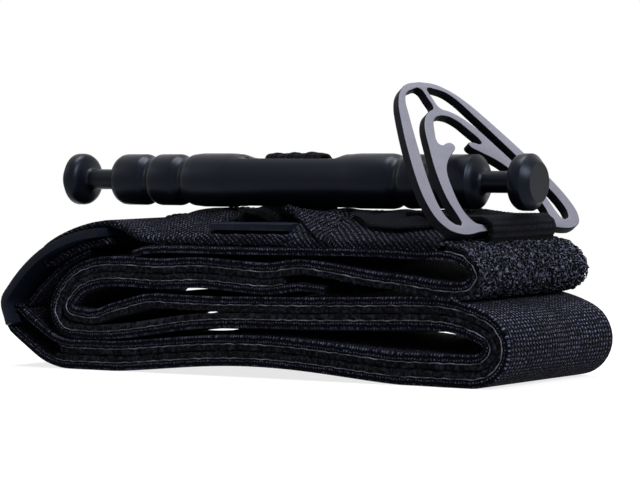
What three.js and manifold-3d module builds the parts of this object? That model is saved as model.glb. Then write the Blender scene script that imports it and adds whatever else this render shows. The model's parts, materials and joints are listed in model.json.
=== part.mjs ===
// Windlass tourniquet, folded for the pouch: one strap wound into a flat C, a turned rod on top to
// twist it tight, and a triangular ring that swings over the rod's end to hold the turns.
// Millimetres, +X along the pack towards the ring, +Y across the strap, +Z up, resting on Z = 0.
import * as THREE from "three";
import { mergeVertices } from "three/addons/utils/BufferGeometryUtils.js";
import Module from "manifold-3d";

const wasm = await Module();
wasm.setup();

// ---- driving dimensions -------------------------------------------------------------------------
const gap = 0.3; // running clearance between pieces that touch
const strapWidth = 38;
const webThickness = 1.8; // woven strap, without its pile
const tapeThickness = 1.25; // loop tape and hook tape, each
const packFront = 62; // where the lower right fold starts to turn, from the strap's middle
const packBack = 55; // where the bottom run leaves the table on the buckle side
const archRise = 2.4; // the bottom run bows up between its two resting flats
const lowerGap = 1.7; // daylight between the bottom run and the run above it
const middleGap = 1.2; // daylight between the two inner runs
const upperGap = 1.4; // daylight under the top run
const buckleThickness = 2.0;
const buckleRail = 2.4; // solid edge either side of the buckle's slots
const wrapThickness = 1.5; // webbing looped through the buckle
const bandWidth = 25.4;
const bandThickness = 2.0; // the inner band that the rod winds up
const loopWidth = 15; // the band where it is gathered through the rod
const loopThickness = 1.5;
const coverThickness = 2.0;
const guideLength = 23.2;
const guideWidth = 34;
const guideThickness = 2.3;
const flapThickness = 1.0;
const flapWidth = 30;
const knobRadius = 6.2;
const barrelRadius = 6.0;
const neckRadius = 2.4;
const rodLeft = 64; // rod centre to its plain end
const rodRight = 64.2; // rod centre to the end that the ring holds
const knobLeft = 6.2; // length of the knob at the plain end, down to its neck
const knobRight = 6.3;
const neckLeft = 7.5;
const neckRight = 6.9;
const flatDepth = 1.0; // milled off the barrel's top over the slot
const rodYaw = 6.5; // degrees, the rod lies slightly across the strap
const rodTilt = 1.1; // degrees, its ring end is the lower one
const rodClearance = 3.2; // daylight between the guide plate and the rod
const slotLength = 26; // through the rod, for the band
const ringHeight = 41.6;
const ringThickness = 2.0;
const ringBar = 2.0;
const keeperWidth = 23;
const ringReach = 58.4; // strap's middle to the ring's bar, along the pack
const ringMiddle = 3.4; // the ring and its keeper sit under the slanting rod, off the strap's middle
const keeperThickness = 1.1;
const linerThickness = 1.2;
const tackWidth = 3.0;
const tackHeight = 0.6;

// ---- levels, from the table up ------------------------------------------------------------------
// A level is the face of the webbing that carries the pile.
const pileStack = 2 * tapeThickness + 3 * gap; // hook and loop tapes pressed together
const tailFlat = webThickness;
const mainFlat = tailFlat + pileStack;
const run3 = mainFlat + webThickness + lowerGap + archRise + webThickness; // main, going right
const run4 = run3 + pileStack; // tail on top of it
const run5 = run4 + webThickness + middleGap + webThickness; // tail, inside the next run
const run6 = run5 + pileStack; // main, going left
const topRun = run6 + webThickness + upperGap + webThickness;
const foldFloor = mainFlat + webThickness + gap + webThickness; // a fold lying on the bottom run
const crown = 0.9; // the inner runs rise this much towards the right folds
const nest = run4 + crown + webThickness + 2 * gap + tapeThickness; // the main strap resting on the tail
const bandBottom = topRun + gap;
const bandTop = bandBottom + bandThickness;
const coverBottom = bandTop + gap;
const coverTop = coverBottom + coverThickness;
const guideTop = coverBottom + guideThickness;
const rodAxis = guideTop + rodClearance + barrelRadius;

// ---- finishes -----------------------------------------------------------------------------------
const finish = (color, roughness, metalness = 0) => ({ color, roughness, metalness });
const wovenNylon = finish(0x1c1c20, 0.85);
const pile = finish(0x121214, 0.95);
const mouldedPlastic = finish(0x2a2c33, 0.5);
const anodised = finish(0x26262b, 0.42, 0.6);
const greyCoat = finish(0x77757f, 0.5, 0.3);
const thread = finish(0x0c0c0e, 0.8);

// ---- solids -------------------------------------------------------------------------------------
function solid(geometry) {
  const plain = geometry.clone();
  plain.deleteAttribute("normal");
  plain.deleteAttribute("uv");
  const merged = mergeVertices(plain, 1e-4);
  return new wasm.Manifold(new wasm.Mesh({
    numProp: 3,
    vertProperties: new Float32Array(merged.attributes.position.array),
    triVerts: new Uint32Array(merged.index.array),
  }));
}

function geometryOf(body) {
  const mesh = body.getMesh();
  const geometry = new THREE.BufferGeometry();
  geometry.setAttribute("position", new THREE.BufferAttribute(mesh.vertProperties, 3));
  geometry.setIndex(new THREE.BufferAttribute(mesh.triVerts, 1));
  return geometry;
}

function box(x0, x1, y0, y1, z0, z1) {
  const geometry = new THREE.BoxGeometry(x1 - x0, y1 - y0, z1 - z0);
  return geometry.translate((x0 + x1) / 2, (y0 + y1) / 2, (z0 + z1) / 2);
}

// An outline in X and Z, drawn out along Y and centred on y = middle.
function acrossStrap(outline, width, middle = 0) {
  const geometry = new THREE.ExtrudeGeometry(new THREE.Shape(outline), {
    depth: width, bevelEnabled: false,
  });
  return geometry.rotateX(Math.PI / 2).translate(0, middle + width / 2, 0);
}

// ---- routes: the path of a strip seen from its edge ----------------------------------------------
const at = (x, z) => new THREE.Vector2(x, z);

function smooth(points, step = 1.6) {
  const spots = points.map((p) => new THREE.Vector3(p.x, p.y, 0));
  const curve = new THREE.CatmullRomCurve3(spots, false, "centripetal");
  const count = Math.max(2, Math.round(curve.getLength() / step));
  return curve.getSpacedPoints(count).map((p) => at(p.x, p.y));
}

function arc(centre, radius, from, to, steps = 10) {
  const points = [];
  for (let i = 0; i <= steps; i += 1) {
    const angle = THREE.MathUtils.degToRad(from + (to - from) * i / steps);
    points.push(at(centre.x + radius * Math.cos(angle), centre.y + radius * Math.sin(angle)));
  }
  return points;
}

function leftNormal(route, i) {
  const before = route[Math.max(0, i - 1)];
  const after = route[Math.min(route.length - 1, i + 1)];
  const along = after.clone().sub(before).normalize();
  return at(-along.y, along.x);
}

// A positive offset lies left of the route's direction.
function parallel(route, offset) {
  return route.map((p, i) => p.clone().addScaledVector(leftNormal(route, i), offset));
}

function strip(route, low, high) {
  return [...parallel(route, low), ...parallel(route, high).reverse()];
}

function lengthAlong(route) {
  const reach = [0];
  for (let i = 1; i < route.length; i += 1) reach.push(reach[i - 1] + route[i].distanceTo(route[i - 1]));
  return reach;
}

// The stretch of a route between two lengths measured along it, with its ends cut exactly.
function stretch(route, start, end) {
  const reach = lengthAlong(route);
  const spot = (s) => {
    const i = Math.min(route.length - 1, Math.max(1, reach.findIndex((r) => r >= s)));
    return route[i - 1].clone().lerp(route[i], (s - reach[i - 1]) / (reach[i] - reach[i - 1]));
  };
  const inside = route.filter((p, i) => reach[i] > start + 0.2 && reach[i] < end - 0.2);
  return [spot(start), ...inside, spot(end)];
}

// The part of a route from its point nearest one spot to its point nearest another.
function between(route, start, end) {
  const nearest = (spot) => {
    const distances = route.map((p) => p.distanceTo(spot));
    return distances.indexOf(Math.min(...distances));
  };
  return route.slice(nearest(start), nearest(end) + 1);
}

// ---- the strap's route --------------------------------------------------------------------------
const barOffset = buckleThickness / 2 + gap + 0.7; // buckle bar's centre to the strap around it
const bar = at(-packBack - 19.4, foldFloor + 2.3); // the buckle's lower bar
const barTurnStart = 43; // degrees, where the strap meets the bar

const topRoute = smooth([
  at(-44, topRun), at(-30, topRun), at(0, topRun), at(36, topRun), at(50, topRun - 0.5), at(57, topRun - 1.2),
  at(61.8, topRun - 2.6), at(64.6, topRun - 5.2), at(64.9, nest + 2.4), at(62.6, nest + 0.2),
  at(57, nest), at(46, nest + 0.9), at(35, run6 - 1.6), at(25, run6 - 0.3), at(14, run6), at(0, run6),
  at(-20, run6 + 0.3), at(-38, run6 + 0.3), at(-47, run6), at(-53.8, run6 - 2), at(-58, run6 - 5.4),
  at(-60.6, run6 - 9.6), at(-60.4, foldFloor + 3.6), at(-57.6, foldFloor + 0.6), at(-52, foldFloor),
  at(-45, foldFloor), at(-38, foldFloor + 0.5), at(-29, foldFloor + 1.6), at(-19, run3 - 0.7), at(-8, run3),
  at(16, run3 + 0.2), at(36, run3 + 0.6), at(50, run3 + crown), at(57.5, run3 + 0.5),
  at(packFront + 1.6, run3 - 1.0), at(packFront + 5.2, mainFlat + 4.9), at(packFront + 5.9, mainFlat + 2.9),
  at(packFront + 4.4, mainFlat + 0.9), at(packFront + 1.5, mainFlat + 0.05), at(packFront - 1, mainFlat),
]);
const arch = (x) => archRise * Math.max(0, Math.cos((x - 1) / 43 * Math.PI / 2)) ** 1.3;
const archRoute = [];
for (let x = 44; x >= -42; x -= 4) archRoute.push(at(x, mainFlat + arch(x)));
const toBar = smooth([
  at(-packBack, mainFlat), at(-packBack - 1.5, mainFlat + 0.02), at(-packBack - 6, mainFlat + 0.9),
  at(-packBack - 11, mainFlat + 3.3), ...arc(bar, barOffset, barTurnStart, barTurnStart + 20, 2),
], 1.4);
const mainRoute = [...topRoute, ...archRoute, ...toBar];
const aroundBar = arc(bar, barOffset, barTurnStart + 26, barTurnStart + 174, 8);
const fromBar = smooth([
  ...arc(bar, barOffset, barTurnStart + 180, barTurnStart + 190, 1), at(-packBack - 15.2, tailFlat + 4.6),
  at(-packBack - 9.6, tailFlat + 1.5), at(-packBack - 4.6, tailFlat + 0.2), at(-packBack - 1.5, tailFlat),
  at(-packBack + 1, tailFlat),
], 1.4);
const rightFold = between(mainRoute, at(-8, run3), at(packFront - 1, mainFlat));
const leftFold = between(mainRoute, at(24, run6), at(-58.2, run6 - 5.4));
const lens = smooth([ // the tail bows away from the main strap just inside the left fold
  at(-57.0, foldFloor + pileStack + 2.4), at(-55.7, foldFloor + pileStack + 0.9),
  at(-52.6, foldFloor + pileStack + 0.2),
  at(-47.4, foldFloor + pileStack), at(-42.4, foldFloor + pileStack + 1.4), at(-37, run4 - 1.2),
  at(-30, run4 + 0.2), at(-20, run4 + 0.1), at(-11, run4),
]);
const tailRoute = [
  ...fromBar, ...parallel(archRoute, pileStack).reverse(), ...parallel(rightFold, pileStack).reverse(),
  ...lens.reverse(), ...parallel(leftFold, pileStack).reverse(),
];
const strapRoute = [...mainRoute, ...aroundBar, ...tailRoute];

// ---- the buckle's route, from its squared upper end down to its lower bar -------------------------
const buckleTopZ = topRun + 3.0; // the middle of the plate at its squared end
const buckleRoute = smooth([
  at(-43, buckleTopZ), at(-48.6, buckleTopZ - 0.7), at(-54.5, buckleTopZ - 2.1), at(-61.2, buckleTopZ - 4.6),
  at(-67.6, buckleTopZ - 8.6), at(-72.8, buckleTopZ - 13.2), at(bar.x - 1.2, bar.y + 4.4), bar,
], 1.5);
const buckleLength = lengthAlong(buckleRoute).at(-1);
const wrapAt = 21; // from the upper end to the turn of the webbing through the upper slot
const wrapReach = buckleThickness / 2 + gap; // plate's middle to the webbing on either face
const slotWidth = strapWidth + 2 * gap;
const wrapWidth = strapWidth - 2;

function bucklePlate() {
  const half = buckleThickness / 2;
  const end = buckleLength - 0.05;
  let body = solid(acrossStrap(strip(stretch(buckleRoute, 0.05, end), -half, half),
    slotWidth + 2 * buckleRail));
  const barRound = new THREE.CylinderGeometry(half, half, slotWidth + 2 * buckleRail, 20);
  body = body.add(solid(barRound.translate(bar.x, 0, bar.y)));
  const slots = [
    [end - (barOffset + webThickness + gap), end - half - 0.1],
    [wrapAt + 0.4, wrapAt + wrapReach + wrapThickness + gap],
  ];
  for (const [from, to] of slots) {
    const window = strip(stretch(buckleRoute, from, to), -half - 1, half + 1);
    body = body.subtract(solid(acrossStrap(window, slotWidth)));
  }
  return geometryOf(body);
}

// ---- rod ------------------------------------------------------------------------------------------
function groove(u, half, depth) {
  return [[u - half, barrelRadius], [u, barrelRadius - depth], [u + half, barrelRadius]];
}

function rodGeometry() {
  const neckStart = -rodLeft + knobLeft;
  const shoulderLeft = neckStart + neckLeft;
  const neckEnd = rodRight - knobRight;
  const shoulderRight = neckEnd - neckRight;
  const profile = [
    [-rodLeft, 0], [-rodLeft, knobRadius - 1.9], [-rodLeft + 1.8, knobRadius - 0.1],
    [neckStart - 2.3, knobRadius - 0.1], [neckStart - 1.4, knobRadius - 0.8],
    [neckStart - 0.9, knobRadius - 2.1], [neckStart - 0.4, neckRadius + 0.4], [neckStart, neckRadius],
    [shoulderLeft, neckRadius], [shoulderLeft + 0.7, neckRadius + 0.9],
    [shoulderLeft + 1.3, barrelRadius - 1.1],
    [shoulderLeft + 2.2, barrelRadius - 0.3], [shoulderLeft + 3.4, barrelRadius],
    ...groove(-39, 0.9, 0.9), ...groove(-28.4, 0.9, 0.9),
    [-26.9, barrelRadius], [-26.4, barrelRadius + 0.2], [-16.7, barrelRadius + 0.2], [-16.2, barrelRadius],
    ...groove(29.9, 0.9, 0.9), ...groove(37.4, 0.9, 0.9),
    [shoulderRight - 2.2, barrelRadius], [shoulderRight - 1.8, barrelRadius - 0.5],
    [shoulderRight - 1.1, barrelRadius - 1.4], [shoulderRight - 0.6, neckRadius + 0.8],
    [shoulderRight, neckRadius], [neckEnd, neckRadius], [neckEnd + 0.6, neckRadius + 1.1],
    [neckEnd + 1, knobRadius - 1.1], [neckEnd + 1.9, knobRadius - 0.1], [neckEnd + 2.6, knobRadius],
    [rodRight - 1.8, knobRadius], [rodRight, knobRadius - 1.8], [rodRight, 0],
  ].map(([u, r]) => at(r, u));
  const turned = new THREE.LatheGeometry(profile, 40).rotateZ(-Math.PI / 2);
  const above = barrelRadius + 1;
  const flat = box(-14.6, 15.8, -above, above, barrelRadius - flatDepth, above);
  const halfSlot = loopThickness / 2 + 0.6;
  const slot = box(-slotLength / 2, slotLength / 2, -halfSlot, halfSlot, -above, above);
  return geometryOf(solid(turned).subtract(solid(flat)).subtract(solid(slot)));
}

// ---- ring: drawn flat, u across and v up from the middle of its base bar --------------------------
function mirrored(half) {
  return [...half, ...half.filter((p) => p.x > 0.01).reverse().map((p) => at(-p.x, p.y))];
}

function ringGeometry() {
  const k = ringHeight / 41.6;
  const scaled = (points) => points.map(([u, v]) => at(u * k, v * k));
  const half = ringBar / 2;
  const outer = smooth(scaled([[0, -half], [14, -half], [19.5, -half], [23.4, 0.4], [25.4, 3.6], [25.5, 8],
    [23.6, 14], [19.8, 22.4], [14.6, 32.2], [10.6, 37.6], [5.6, 40.8], [0, 41.6]]), 2);
  const chamber = smooth(scaled([[0, half], [12.4, half], [13.8, 2.2], [14.3, 5.5], [13.1, 11], [11.3, 16],
    [7.8, 19.4], [4.6, 21.2], [2.8, 22.1], [2.6, 23], [3.5, 23.7], [5.6, 23.6], [7.3, 23.9], [7.2, 24.9],
    [5.8, 27.4], [4, 29.7], [1.9, 30.9], [0, 31.2]]), 1.5);
  const window = smooth(scaled([[19.4, 1.9], [21.2, 3.2], [21.6, 6.8], [19.6, 13.6], [16.2, 21.6],
    [11.4, 31], [8.2, 35.8], [5, 38.2], [1.6, 39.2], [0.9, 38.4], [0.9, 34.2], [1.8, 33.2], [4.8, 32],
    [7.9, 28.4], [11.3, 22.2], [14.8, 15.4], [17.2, 8], [17.5, 3.4], [19.4, 1.9]]), 1.5);
  window.pop();
  const shape = new THREE.Shape(mirrored(outer));
  shape.holes.push(new THREE.Path(mirrored(chamber)), new THREE.Path(window));
  shape.holes.push(new THREE.Path(window.map((p) => at(-p.x, p.y)).reverse()));
  const plate = new THREE.ExtrudeGeometry(shape, { depth: ringThickness, bevelEnabled: false });
  // stand the plate up: u along +Y, v along +Z, thickness along X about the bar
  plate.translate(0, 0, -ringThickness / 2);
  plate.rotateX(Math.PI / 2).rotateZ(Math.PI / 2);
  return geometryOf(solid(plate));
}

// ---- band: flat in the sleeve, gathered and passed up through the rod -----------------------------
const rodCentre = new THREE.Vector3(0, -1.5, rodAxis);

function bandGeometry() {
  const flat = solid(box(-38, 42, -bandWidth / 2, bandWidth / 2, bandBottom, bandTop));
  const drop = rodAxis - bandTop;
  const half = loopThickness / 2;
  const sunk = 0.8; // how far the loop's ends run down into the flat band
  const r = barrelRadius;
  const path = smooth([
    at(0, -drop - sunk), at(0, -drop / 2), at(0, 2), at(0.1, r - 0.8), at(2.4, r + 0.7), at(5.4, r),
    at(r + 1.5, 3.2), at(r + 1.9, 0), at(r + 1.6, -4), at(r + 0.8, -drop + 3), at(r, -drop - sunk),
  ], 1.2);
  const loop = new THREE.ExtrudeGeometry(new THREE.Shape(strip(path, -half, half)), {
    depth: loopWidth, bevelEnabled: false,
  });
  loop.translate(0, 0, -loopWidth / 2).rotateX(Math.PI / 2).rotateZ(Math.PI / 2);
  loop.rotateZ(THREE.MathUtils.degToRad(rodYaw)).translate(rodCentre.x, rodCentre.y, rodCentre.z);
  return geometryOf(flat.add(solid(loop)));
}

// ---- sleeve, guide and keepers ----------------------------------------------------------------------
const guideOpen = { x: loopWidth / 2 + 1.5, y0: -4.2, y1: barrelRadius + 3.6 };

function guideGeometry() {
  const plate = solid(box(-guideLength / 2, guideLength / 2, -guideWidth / 2, guideWidth / 2,
    coverBottom, guideTop));
  const opening = box(-guideOpen.x, guideOpen.x, guideOpen.y0, guideOpen.y1, coverBottom - 1, guideTop + 1);
  return geometryOf(plate.subtract(solid(opening)));
}

function sleeveLeftGeometry() {
  const plate = stretch(buckleRoute, 0.3, wrapAt);
  const outside = wrapReach;
  const over = parallel(plate, -outside);
  const under = parallel(plate, outside).reverse();
  const turn = plate.at(-1);
  const facing = THREE.MathUtils.radToDeg(over.at(-1).clone().sub(turn).angle());
  const route = [
    at(-guideLength / 2 - gap, coverBottom), at(-20, coverBottom), at(-36, coverBottom),
    at(-39.5, coverBottom + 0.6), ...over, ...arc(turn, outside, facing + 20, facing + 160, 6), ...under,
  ];
  return acrossStrap(strip(route, -wrapThickness, 0), wrapWidth);
}

const barClearance = 0.45; // round the ring's bar as it turns in its keeper
const keeperInner = Math.hypot(ringBar, ringThickness) / 2 + barClearance;
const ringPivot = new THREE.Vector3(ringReach, ringMiddle, coverTop + gap - keeperInner);

// The ring leans back until its lugs rest on the rod's barrel.
const lugHeight = 22.1 * ringHeight / 41.6;
const lugStation = 43; // along the rod, where the lugs rest
const rodAtLugs = rodAxis - lugStation * Math.sin(THREE.MathUtils.degToRad(rodTilt));
const lugRise = rodAtLugs + barrelRadius + gap - ringPivot.z;
const ringLean = Math.acos(lugRise / Math.hypot(lugHeight, ringThickness / 2))
  - Math.atan(ringThickness / 2 / lugHeight);

function keeperGeometry() {
  const centre = at(ringPivot.x, ringPivot.z);
  const route = [
    at(ringReach - 15.4, centre.y - keeperInner), ...arc(centre, keeperInner, -90, 90, 12),
    at(ringReach - 20.4, centre.y + keeperInner),
  ];
  return acrossStrap(strip(route, -keeperThickness, 0), keeperWidth, ringMiddle);
}

function linerGeometry() {
  const inside = wrapReach + wrapThickness + gap;
  const route = stretch(buckleRoute, 8, buckleLength - 10);
  return acrossStrap(strip(route, inside, inside + linerThickness), strapWidth - 3);
}

// A row of stitches across the strap, standing on the fabric at z.
function tack(x, y, z, length) {
  return box(x - tackWidth / 2, x + tackWidth / 2, y - length / 2, y + length / 2, z, z + tackHeight);
}

// ---- assembly ---------------------------------------------------------------------------------------
const tourniquet = new THREE.Group();
const pack = new THREE.Group();

function node(parent, name, geometry, look) {
  const mesh = new THREE.Mesh(geometry, new THREE.MeshStandardMaterial(look));
  mesh.name = name;
  parent.add(mesh);
  return mesh;
}

const mainReach = lengthAlong(mainRoute).at(-1);
const tailStart = lengthAlong([...mainRoute, ...aroundBar]).at(-1);
const wholeReach = lengthAlong(strapRoute).at(-1);
const tapeLow = gap;
const tapeHigh = gap + tapeThickness;
const loopTape = stretch(strapRoute, 102.5, mainReach - 16);
const hookTape = stretch(strapRoute, tailStart + 17, wholeReach - 12);

node(pack, "strap_webbing", acrossStrap(strip(strapRoute, -webThickness, 0), strapWidth), wovenNylon);
node(pack, "loop_tape", acrossStrap(strip(loopTape, tapeLow, tapeHigh), strapWidth), pile);
node(pack, "hook_tape", acrossStrap(strip(hookTape, tapeLow, tapeHigh), strapWidth), pile);
node(pack, "buckle_plate", bucklePlate(), mouldedPlastic);
node(pack, "buckle_liner", linerGeometry(), wovenNylon);
node(pack, "sleeve_left", sleeveLeftGeometry(), wovenNylon);
const sleeveRightEnd = ringPivot.x - keeperInner - 1.4;
const sleeveHalf = wrapWidth / 2;
node(pack, "sleeve_right", box(guideLength / 2 + gap, sleeveRightEnd, -sleeveHalf, sleeveHalf,
  coverBottom, coverTop), wovenNylon);
const flapBottom = coverTop + gap;
const flapTop = flapBottom + flapThickness;
node(pack, "rod_flap", box(guideLength / 2 + 2.9, ringReach - 22.4, -flapWidth / 2, flapWidth / 2,
  flapBottom, flapTop), wovenNylon);
node(pack, "guide_plate", guideGeometry(), mouldedPlastic);
node(pack, "tension_band", bandGeometry(), wovenNylon);
node(pack, "ring_keeper", keeperGeometry(), wovenNylon);
const wrapTop = coverBottom + wrapThickness + gap;
node(pack, "tack_sleeve_left", tack(-17, 0, wrapTop, 30), thread);
node(pack, "tack_buckle_wrap", tack(-33, 0, wrapTop, 30), thread);
node(pack, "tack_sleeve_right", tack(24, 0, flapTop + gap, 24), thread);
const keeperTop = coverTop + gap + keeperThickness;
node(pack, "tack_ring_keeper", tack(ringReach - 14.4, ringMiddle, keeperTop + gap, 20), thread);

const windlass = new THREE.Group();
windlass.position.copy(rodCentre);
windlass.rotation.set(0, THREE.MathUtils.degToRad(rodTilt), THREE.MathUtils.degToRad(rodYaw), "ZYX");
node(windlass, "windlass_rod", rodGeometry(), anodised);

const ring = new THREE.Group();
ring.position.copy(ringPivot);
ring.rotation.y = -ringLean;
node(ring, "retention_ring", ringGeometry(), greyCoat);

tourniquet.add(pack, windlass, ring);

// The origin is on the table, under the middle of the whole thing.
tourniquet.updateMatrixWorld(true);
const middle = new THREE.Box3().setFromObject(tourniquet, true).getCenter(new THREE.Vector3());
tourniquet.position.set(-middle.x, -middle.y, 0);

export default tourniquet;
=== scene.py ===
# Windlass tourniquet, folded for its pouch. One woven strap is wound into a flat C, a turned rod lies
# on top of it, and a grey ring swings over the rod's end. Pieces are modelled in millimetres in the
# strap's own directions (X along the pack, Y across the strap, Z up) and settled into the frame.
import json
import math

import bpy
import numpy as np
from mathutils import Matrix, Vector


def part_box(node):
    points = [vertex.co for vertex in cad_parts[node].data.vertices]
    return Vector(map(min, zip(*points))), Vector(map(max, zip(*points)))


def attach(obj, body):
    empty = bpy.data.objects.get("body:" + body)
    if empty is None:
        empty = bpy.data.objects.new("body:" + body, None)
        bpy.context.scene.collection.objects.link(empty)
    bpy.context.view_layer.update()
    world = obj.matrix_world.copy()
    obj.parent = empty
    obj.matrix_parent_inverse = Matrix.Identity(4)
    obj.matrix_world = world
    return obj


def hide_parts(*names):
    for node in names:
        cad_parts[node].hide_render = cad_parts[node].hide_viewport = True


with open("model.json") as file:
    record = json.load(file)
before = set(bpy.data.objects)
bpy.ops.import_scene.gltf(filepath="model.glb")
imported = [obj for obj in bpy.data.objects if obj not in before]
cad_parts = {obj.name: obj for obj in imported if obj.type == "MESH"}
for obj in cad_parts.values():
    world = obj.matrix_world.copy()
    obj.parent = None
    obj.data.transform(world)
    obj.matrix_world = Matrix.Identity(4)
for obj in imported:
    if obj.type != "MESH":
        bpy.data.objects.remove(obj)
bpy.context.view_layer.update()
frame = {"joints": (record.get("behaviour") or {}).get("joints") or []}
random = np.random.default_rng(11)

MM = 0.001
joints = {joint["name"]: joint for joint in frame["joints"]}
strap_low, strap_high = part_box("strap_webbing")


# ---- sizes in millimetres, the same as the construction's ----
GAP = 0.3
STRAP_WIDTH = 38.0
WEB = 1.8  # woven strap, without its pile
TAPE = 1.25  # loop tape and hook tape, each
PACK_FRONT = 62.0
PACK_BACK = 55.0
ARCH_RISE = 2.4
BUCKLE = 2.0
BUCKLE_RAIL = 2.4
WRAP = 1.5
LOOP_WIDTH = 15.0
COVER = 2.0
GUIDE_LENGTH, GUIDE_WIDTH, GUIDE_THICKNESS = 23.2, 34.0, 2.3
BARREL, KNOB, NECK = 6.0, 6.2, 2.4
ROD_LEFT, ROD_RIGHT, FLAT_DEPTH = 64.0, 64.2, 1.0
ROD_YAW, ROD_TILT = math.radians(6.5), math.radians(1.1)
RING_THICKNESS, RING_BAR = 2.0, 2.0
RING_REACH, RING_MIDDLE = 58.4, 3.4
KEEPER_WIDTH, KEEPER = 23.0, 1.1
BAR_CLEARANCE = 0.45
LUG_HEIGHT, LUG_STATION = 22.1, 43.0
LINER = 1.2

# Heights from the table up. A run's height is the face of the webbing that carries the pile.
PILE_STACK = 2 * TAPE + 3 * GAP
TAIL_FLAT = WEB
MAIN_FLAT = TAIL_FLAT + PILE_STACK
RUN3 = MAIN_FLAT + 2 * WEB + 1.7 + ARCH_RISE
RUN4 = RUN3 + PILE_STACK
RUN5 = RUN4 + 2 * WEB + 1.2
RUN6 = RUN5 + PILE_STACK
TOP_RUN = RUN6 + 2 * WEB + 1.4
FOLD_FLOOR = MAIN_FLAT + 2 * WEB + GAP
CROWN = 0.9
NEST = RUN4 + CROWN + WEB + 2 * GAP + TAPE
BAND_TOP = TOP_RUN + GAP + 2.0
COVER_BOTTOM = BAND_TOP + GAP
COVER_TOP = COVER_BOTTOM + COVER
GUIDE_TOP = COVER_BOTTOM + GUIDE_THICKNESS
ROD_AXIS = GUIDE_TOP + 3.2 + BARREL
KEEPER_INNER = math.hypot(RING_BAR, RING_THICKNESS) / 2 + BAR_CLEARANCE

hinge_place = Vector(joints["ring_hinge"]["pos_m"])
rod_place = Vector(joints["windlass_turn"]["pos_m"])
strap_middle = (strap_low.y + strap_high.y) / 2
ORIGIN = Vector((hinge_place.x - RING_REACH * MM, strap_middle, 0))


def put(name, data):
    """A new object in the scene."""
    made = bpy.data.objects.new(name, data)
    bpy.context.scene.collection.objects.link(made)
    return made


# ---- camera ----
CAMERA_PLACE = Vector((396.3, -456.4, 50.4))
CAMERA_AZIMUTH, CAMERA_DIP, CAMERA_ROLL = math.radians(40.5), math.radians(1.945), math.radians(-1.375)

camera_data = bpy.data.cameras.new("camera")
camera_data.lens = 149.06
camera_data.clip_start = 0.01
camera = put("camera", camera_data)
camera.location = ORIGIN + CAMERA_PLACE * MM
camera.rotation_euler = (
    Matrix.Rotation(CAMERA_AZIMUTH, 3, "Z")
    @ Matrix.Rotation(math.pi / 2 - CAMERA_DIP, 3, "X")
    @ Matrix.Rotation(CAMERA_ROLL, 3, "Z")
).to_euler()
bpy.context.scene.camera = camera


# ---- routes: the path of a strip seen from its edge ----
def spaced(line, step):
    """A line's points again, evenly spaced about a step apart."""
    reach = np.concatenate([[0], np.cumsum(np.hypot(*np.diff(line, axis=0).T))])
    along = np.linspace(0, reach[-1], max(2, round(reach[-1] / step)) + 1)
    return np.stack([np.interp(along, reach, line[:, k]) for k in (0, 1)], axis=1)


def smooth(points, step=0.5):
    """A centripetal Catmull-Rom curve through the points."""
    p = np.array(points, float)
    p = np.vstack([2 * p[0] - p[1], p, 2 * p[-1] - p[-2]])
    line = []
    for a, b, c, d in zip(p, p[1:], p[2:], p[3:]):
        knots = np.cumsum([0] + [math.sqrt(np.linalg.norm(v - u)) for u, v in ((a, b), (b, c), (c, d))])
        t = np.linspace(knots[1], knots[2], 16, endpoint=False)[:, None]

        def mix(u, v, i, j):
            return ((knots[j] - t) * u + (t - knots[i]) * v) / (knots[j] - knots[i])

        ab, bc, cd = mix(a, b, 0, 1), mix(b, c, 1, 2), mix(c, d, 2, 3)
        line.append(mix(mix(ab, bc, 0, 2), mix(bc, cd, 1, 3), 1, 2))
    return spaced(np.vstack([*line, p[-2:-1]]), step)


def arc(centre, radius, start, end, steps=10):
    turn = np.radians(np.linspace(start, end, steps + 1))
    return [(centre[0] + radius * math.cos(t), centre[1] + radius * math.sin(t)) for t in turn]


class Route:
    """An evenly spaced line in X and Z, with its left-hand normals."""

    def __init__(self, line, step=0.4):
        self.line = spaced(np.array(line, float), step)
        self.reach = np.concatenate([[0], np.cumsum(np.hypot(*np.diff(self.line, axis=0).T))])
        self.length = self.reach[-1]
        along = np.gradient(self.line, axis=0)
        kernel = np.ones(5) / 5
        along = np.stack([np.convolve(np.pad(along[:, k], 2, "edge"), kernel, "valid") for k in (0, 1)], 1)
        along /= np.linalg.norm(along, axis=1)[:, None]
        self.normal = np.stack([-along[:, 1], along[:, 0]], axis=1)

    def at(self, s, offset):
        """X and Z at lengths s along the route, offset to its left. Past an end it runs on straight."""
        spot = [np.interp(s, self.reach, self.line[:, k]) for k in (0, 1)]
        normal = [np.interp(s, self.reach, self.normal[:, k]) for k in (0, 1)]
        size = np.hypot(*normal)
        nx, nz = normal[0] / size, normal[1] / size
        beyond = np.where(s < 0, s, np.where(s > self.length, s - self.length, 0))
        return spot[0] + nx * offset + nz * beyond, spot[1] + nz * offset - nx * beyond

    def nearest(self, x, z):
        return self.reach[np.argmin(np.hypot(self.line[:, 0] - x, self.line[:, 1] - z))]

    def part(self, start, end):
        return self.line[(self.reach >= start) & (self.reach <= end)]


def parallel(line, offset):
    route = Route(line)
    return np.stack(route.at(route.reach, offset), axis=1)


BAR = (-PACK_BACK - 19.4, FOLD_FLOOR + 2.3)  # the buckle's lower bar
BAR_OFFSET = BUCKLE / 2 + GAP + 0.7
BAR_TURN = 43

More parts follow.
